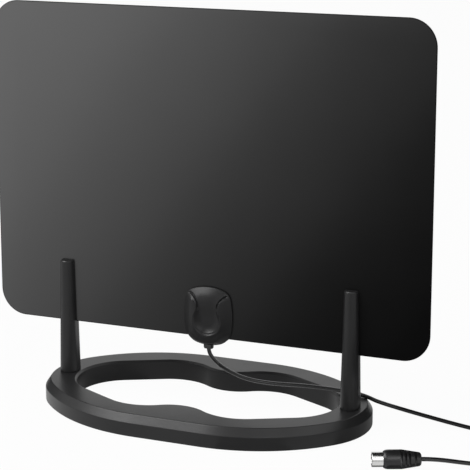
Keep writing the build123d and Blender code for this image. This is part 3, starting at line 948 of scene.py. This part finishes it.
def build_pod():
    """Front cover, crowned and rounded down to the panel, most of all along its top."""
    outline = pod_outline(POD_STEPS)
    middle_x = (pod_lo.x + pod_hi.x) / 2
    centre = Vector((0, (pod_hi.z - pod_lo.z) / 2))
    depth_at = pod_face(centre)

    def ring(share, depth=None):
        points = []
        for p, n in outline:
            at = centre.lerp(p, share)
            y = front_lo.y - (depth_at(at) if depth is None else depth)
            points.append((middle_x + at.x, y, pod_lo.z + at.y))
        return points

    rings = [ring(1, 0), ring(1, POD_FLANK / 2), ring(1, POD_FLANK)]
    for k in range(1, POD_RINGS):
        rings.append(ring(1 - k / POD_RINGS))
    return settle(skin("pod_front_shell", rings), pod_plastic, "pod_black", "pod_front_cover")


# Strain relief


def build_relief():
    """Tapered collar under the pod, with a rounded lower edge."""
    size = (relief_hi - relief_lo) / 2
    outline = box_outline(size.x, size.y, RELIEF_CORNER, RELIEF_STEPS)
    placed = moved(outline, (relief_lo + relief_hi) / 2)
    bottom = relief_lo.z
    profile = rounded([
        (-RELIEF_END, bottom),
        (-RELIEF_EDGE, bottom),
        (-RELIEF_TAPER, bottom + RELIEF_TAPER_HEIGHT),
        (0, pod_lo.z + RELIEF_REACH),
    ], RELIEF_ROUNDS, hold=RELIEF_HOLD)
    rings = [level(placed, p.x, p.y) for p in profile]
    return settle(skin("strain_relief_collar", rings), cord_jacket, "cord_black", "strain_relief")


# Plug


def plug_point(along, radius, angle):
    """Point of the plug from its place along the axis, its radius and its angle round it."""
    ahead = Vector((math.cos(PLUG_HEADING), math.sin(PLUG_HEADING), 0))
    aside = Vector((-ahead.y, ahead.x, 0))
    middle = Vector((*PLUG_END, GRIP_RADIUS)) + ahead * along
    return middle + (aside * math.cos(angle) + Vector((0, 0, 1)) * math.sin(angle)) * radius


def grip_radius(along, angle):
    """Radius of the grip, less its crescent grooves."""
    share = min(1, along / GRIP_TAPER)
    radius = GRIP_END_RADIUS + (GRIP_RADIUS - GRIP_END_RADIUS) * share
    for place in GROOVE_PLACES:
        away = abs(along - place) / (GROOVE_WIDTH / 2)
        if away < GROOVE_REACH:
            turn = angle - GROOVE_TILT
            wide, slim = radius + GROOVE_DEPTH / 2, radius - GROOVE_DEPTH
            core = wide * slim / math.hypot(slim * math.sin(turn), wide * math.cos(turn))
            radius -= max(0, radius - core) * ease((GROOVE_REACH - away) / GROOVE_WALL)
    return radius


def build_grip():
    """Moulded grip with a rounded nose, a tapered tail and flex grooves."""
    nose_drop = GRIP_RADIUS - BARREL_RADIUS
    straight = GRIP_LENGTH - GRIP_TAIL - GRIP_NOSE
    angles = [2 * math.pi * i / GRIP_SIDES for i in range(GRIP_SIDES)]
    turns = [math.pi / 2 * k / GRIP_ROUND_STEPS for k in range(GRIP_ROUND_STEPS + 1)]
    trims = [(GRIP_TAIL * (1 - math.cos(t)), GRIP_TAIL * (1 - math.sin(t))) for t in turns]
    trims += [(GRIP_TAIL + straight * k / GRIP_STEPS, 0) for k in range(1, GRIP_STEPS)]
    for t in turns:
        trims.append((GRIP_LENGTH - GRIP_NOSE * (1 - math.sin(t)), nose_drop * (1 - math.cos(t))))
    rings = []
    for along, trim in trims:
        rings.append([plug_point(along, grip_radius(along, a) - trim, a) for a in angles])
    for along in (GRIP_LENGTH, GRIP_LENGTH - BARREL_SEAT):
        rings.append([plug_point(along, BARREL_SEAT_RADIUS, a) for a in angles])
    return settle(skin("plug_grip_moulding", rings), grip_plastic, "grip_black", "plug_grip")


def build_barrel():
    """Thin metal sleeve with a rolled lip."""
    end = GRIP_LENGTH + BARREL_LENGTH
    start = GRIP_LENGTH - BARREL_SEAT
    profile = rounded([
        (start, BARREL_BORE + BARREL_LAP),
        (start, BARREL_SEAT_RADIUS),
        (GRIP_LENGTH, BARREL_SEAT_RADIUS),
        (GRIP_LENGTH, BARREL_RADIUS),
        (end, BARREL_RADIUS),
        (end, BARREL_BORE),
        (start, BARREL_BORE),
    ], BARREL_ROUNDS, hold=BARREL_HOLD)
    angles = [2 * math.pi * i / BARREL_SIDES for i in range(BARREL_SIDES)]
    rings = [[plug_point(p.x, p.y, a) for a in angles] for p in profile[:-1]]
    sleeve = skin("plug_barrel_sleeve", rings, looped=True)
    return settle(sleeve, plug_metal, "plug_metal", "plug_barrel")


# Cord


def coil_points():
    """Turns of the put-away cord: layers wound inwards and outwards by turns."""
    travel = COIL_ENTRY - COIL_EXIT + 360 * COIL_TURNS
    layer_turn = (travel - COIL_RISER * (COIL_LAYERS - 1)) / COIL_LAYERS
    block = layer_turn + COIL_RISER
    across = (COIL_COLUMNS - 1) * COIL_PITCH
    # The curve runs inside its control points, so they are set that much further out
    bulge = 1 / (0.75 + 0.25 * math.cos(math.radians(360 / COIL_STEPS)))
    count = round(travel * COIL_STEPS / 360)
    points = []
    for k in range(count + 1):
        gone = travel * k / count
        layer = min(int(gone // block), COIL_LAYERS - 1)
        local = gone - layer * block
        share = min(1, local / layer_turn)
        climb = max(0, local - layer_turn) / COIL_RISER
        inward = share if layer % 2 == 0 else 1 - share
        radius = (COIL_ACROSS / 2 + across * (0.5 - inward)) * bulge
        angle = math.radians(COIL_ENTRY - gone)
        height = COIL_LIFT + CORD_DIAMETER / 2 + (layer + climb) * COIL_PITCH
        x, y = COIL_MIDDLE
        points.append((x + radius * math.cos(angle), y + radius * math.sin(angle), height))
    return points


def cord_route():
    """Control points of the cord: from the pod over the base, round the coil and to the plug."""
    exit_x = (relief_lo.x + relief_hi.x) / 2
    exit_y = (relief_lo.y + relief_hi.y) / 2
    drop = [(exit_x + x, exit_y + y, relief_lo.z + z) for x, y, z in CORD_DROP]
    back = (-math.cos(PLUG_HEADING), -math.sin(PLUG_HEADING))
    end_x, end_y = PLUG_END
    to_plug = [(end_x + run * back[0], end_y + run * back[1], z) for run, z in CORD_TO_PLUG]
    return [*drop, *CORD_LEAD, *coil_points(), *CORD_RETURN, *to_plug]


def build_cord():
    """Whole cord on one smooth curve, and the point where it leaves the pod."""
    route = cord_route()
    curve = bpy.data.curves.new("antenna_cord", "CURVE")
    curve.dimensions = "3D"
    curve.bevel_depth = CORD_DIAMETER / 2 * MM
    curve.bevel_resolution = CORD_ROUND_STEPS
    curve.resolution_u = CORD_CURVE_STEPS
    curve.use_fill_caps = True
    spline = curve.splines.new("NURBS")
    spline.points.add(len(route) - 1)
    for knot, point in zip(spline.points, route):
        knot.co = (*(Vector(point) * MM), 1)
    spline.order_u = CORD_ORDER
    spline.use_endpoint_u = True
    cord = bpy.data.objects.new("antenna_cord", curve)
    scene.collection.objects.link(cord)
    settle(cord, cord_jacket, "cord_black", "cord_lead", "cord_coil", "cord_tail")
    return cord, [c * MM for c in route[0]]


# Camera, light and stage


def build_camera():
    """Long lens, a little above the panel's middle and to its right."""
    yaw = math.radians(CAMERA_YAW)
    pitch = math.radians(CAMERA_PITCH)
    level_run = math.cos(pitch)
    ahead = Vector((-math.sin(yaw) * level_run, math.cos(yaw) * level_run, -math.sin(pitch)))
    data = bpy.data.cameras.new("camera")
    data.sensor_width = CAMERA_SENSOR
    data.lens = CAMERA_LENS
    data.shift_y = CAMERA_SHIFT
    camera = bpy.data.objects.new("camera", data)
    camera.location = CAMERA_PLACE
    camera.rotation_mode = "QUATERNION"
    camera.rotation_quaternion = ahead.to_track_quat("-Z", "Y")
    scene.collection.objects.link(camera)
    scene.camera = camera


def seen_directly(tree):
    """Socket that is 1 for rays from the camera, and for mirrored and refracted ones."""
    path = tree.nodes.new("ShaderNodeLightPath")
    total = path.outputs["Is Camera Ray"]
    for name in ("Is Glossy Ray", "Is Transmission Ray"):
        total = worked_out(tree, "MAXIMUM", total, path.outputs[name])
    return total


def build_world():
    """White surroundings, softer as a light than as a background."""
    world = bpy.data.worlds.new("surroundings")
    world.use_nodes = True
    scene.world = world
    tree = world.node_tree
    background = tree.nodes["Background"]
    background.inputs["Color"].default_value = (1, 1, 1, 1)
    link(tree, ranged(tree, seen_directly(tree), WORLD_LIGHT, 1.0), background.inputs["Strength"])


def flat_piece(name, corners, material_name):
    """Flat piece of the stage with a new material, and that material's nodes."""
    mesh = bpy.data.meshes.new(name)
    mesh.from_pydata(corners, [], [tuple(range(len(corners)))])
    made = bpy.data.materials.new(material_name)
    made.use_nodes = True
    mesh.materials.append(made)
    piece = bpy.data.objects.new(name, mesh)
    scene.collection.objects.link(piece)
    return piece, made.node_tree


def mixed_shader(tree, share, first, second):
    """Makes a mix of two shaders the surface of its material."""
    mix = tree.nodes.new("ShaderNodeMixShader")
    link(tree, share, mix.inputs["Fac"])
    link(tree, first, mix.inputs[1])
    link(tree, second, mix.inputs[2])
    surface(tree, mix.outputs["Shader"])


def build_floor():
    """Pale floor that keeps a faint shadow of the object."""
    half = FLOOR_HALF
    corners = [(-half, -half, 0), (half, -half, 0), (half, half, 0), (-half, half, 0)]
    floor, tree = flat_piece("floor", corners, "floor_white")
    shader = tree.nodes["Principled BSDF"]
    shader.inputs["Base Color"].default_value = toned((1, 1, 1), FLOOR_TONE)
    shader.inputs["Roughness"].default_value = FLOOR_ROUGHNESS
    shader.inputs["Specular IOR Level"].default_value = 0.0
    glow = tree.nodes.new("ShaderNodeEmission")
    white = ranged(tree, seen_directly(tree), 0.0, FLOOR_WHITE)
    mixed_shader(tree, white, shader.outputs["BSDF"], glow.outputs["Emission"])


def hidden_card(name, corners):
    """Nodes of a flat card that only mirrored rays see."""
    card, tree = flat_piece(name, corners, name)
    card.visible_camera = False
    card.visible_diffuse = False
    card.visible_transmission = False
    card.visible_shadow = False
    return tree


def sheen_tone(tree):
    """Socket with the sheen's tone, which runs across the card."""
    place = tree.nodes.new("ShaderNodeTexCoord")
    slope = tree.nodes.new("ShaderNodeVectorMath")
    slope.operation = "DOT_PRODUCT"
    slope.inputs[1].default_value = (-math.cos(SHEEN_LEAN), 0.0, math.sin(SHEEN_LEAN))
    link(tree, place.outputs["Object"], slope.inputs[0])
    ramp = tree.nodes.new("ShaderNodeValToRGB")
    ramp.color_ramp.interpolation = "CARDINAL"
    stops = ramp.color_ramp.elements
    while len(stops) < len(SHEEN_RAMP):
        stops.new(0.5)
    for stop, (position, tone) in zip(stops, SHEEN_RAMP):
        stop.position = position
        stop.color = (tone, tone, tone, 1)
    along = ranged(tree, slope.outputs["Value"], 0.0, 1.0, SHEEN_FROM, SHEEN_TO)
    link(tree, along, ramp.inputs["Fac"])
    return ramp.outputs["Color"]


def build_sheen_card():
    """Graduated card before the panel's face: light at the upper left, black at the lower right."""
    x, low, high = SHEEN_HALF, SHEEN_LOW, SHEEN_HIGH
    y = (front_lo.y - SHEEN_GAP) * MM
    tree = hidden_card("sheen_card", [(x, y, low), (-x, y, low), (-x, y, high), (x, y, high)])
    glow = new_node(tree, "ShaderNodeEmission", Strength=SHEEN_STRENGTH)
    link(tree, sheen_tone(tree), glow.inputs["Color"])
    clear = tree.nodes.new("ShaderNodeBsdfTransparent")
    facing = tree.nodes.new("ShaderNodeNewGeometry").outputs["Backfacing"]
    mixed_shader(tree, facing, glow.outputs["Emission"], clear.outputs["BSDF"])


def build_dark_cards():
    """Dark cards that paint shade into reflections: over the plug, behind the base's left end,
    overhead and behind the cord.
    """
    for name, ((x0, y0, z0), (x1, y1, z1)) in DARK_CARDS.items():
        corners = [(x0, y0, z0), (x1, y0, z0), (x1, y1, z1), (x0, y1, z1)]
        shader = hidden_card(name, corners).nodes["Principled BSDF"]
        shader.inputs["Base Color"].default_value = toned((1, 1, 1), DARK_TONE)
        shader.inputs["Specular IOR Level"].default_value = 0.0


def build_light_cards():
    """Glowing cards: one behind the key softbox, a painted highlight for brighter gloss, and those
    on the floor, which paint light and shade into reflections of the floor.
    """
    turn = (Vector(AIM) - Vector(KEY_PLACE)).to_track_quat("-Z", "Y")
    half = KEY_SIZE / 2
    behind_key = []
    for x, y in ((-half, -half), (half, -half), (half, half), (-half, half)):
        behind_key.append(Vector(KEY_PLACE) + turn @ Vector((x, y, KEY_GAP)))
    cards = [("key_card", behind_key, KEY_GLOSS)]
    for name, (strength, corners) in FLOOR_CARDS.items():
        cards.append((name, [(x, y, CARD_LIFT) for x, y in corners], strength))
    for name, corners, strength in cards:
        tree = hidden_card(name, corners)
        glow = new_node(tree, "ShaderNodeEmission", Strength=strength)
        surface(tree, glow.outputs["Emission"])


def add_softbox(name, place, size, power):
    """Square area light that points at the object."""
    data = bpy.data.lights.new(name, "AREA")
    data.size = size
    data.energy = power
    lamp = bpy.data.objects.new(name, data)
    lamp.location = place
    lamp.rotation_mode = "QUATERNION"
    lamp.rotation_quaternion = (Vector(AIM) - Vector(place)).to_track_quat("-Z", "Y")
    scene.collection.objects.link(lamp)


build_camera()
build_world()
build_floor()
build_sheen_card()
build_dark_cards()
build_light_cards()
for name, (place, size, power) in SOFTBOXES.items():
    add_softbox(name, place, size, power)

build_base()
for side in (-1, 1):
    build_post(side)
build_sheet("panel_front_film", front_lo, front_hi, True, "panel_front_sheet")
build_sheet("panel_rear_film", rear_lo, rear_hi, False, "panel_rear_sheet")
build_pod()
build_relief()
grip = build_grip()
barrel = build_barrel()
cord, cord_exit = build_cord()

carried = {
    "pod_rear_cover": pod_plastic,
    "pod_screws": screw_steel,
    "post_screws": screw_steel,
    "matching_board": board_mask,
    "ferrite_core": ferrite,
    "contact_rivet_left": contact_brass,
    "contact_rivet_right": contact_brass,
    "foil_loop_left": foil_metal,
    "foil_loop_right": foil_metal,
    "cord_tie": tie_plastic,
    "plug_insulator": insulator_white,
    "plug_pin": plug_metal,
}
for name in nodes:
    if name.startswith("foot_"):
        carried[name] = foot_rubber
for name, material in carried.items():
    nodes[name].data.materials.clear()
    nodes[name].data.materials.append(material)

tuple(cord_exit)
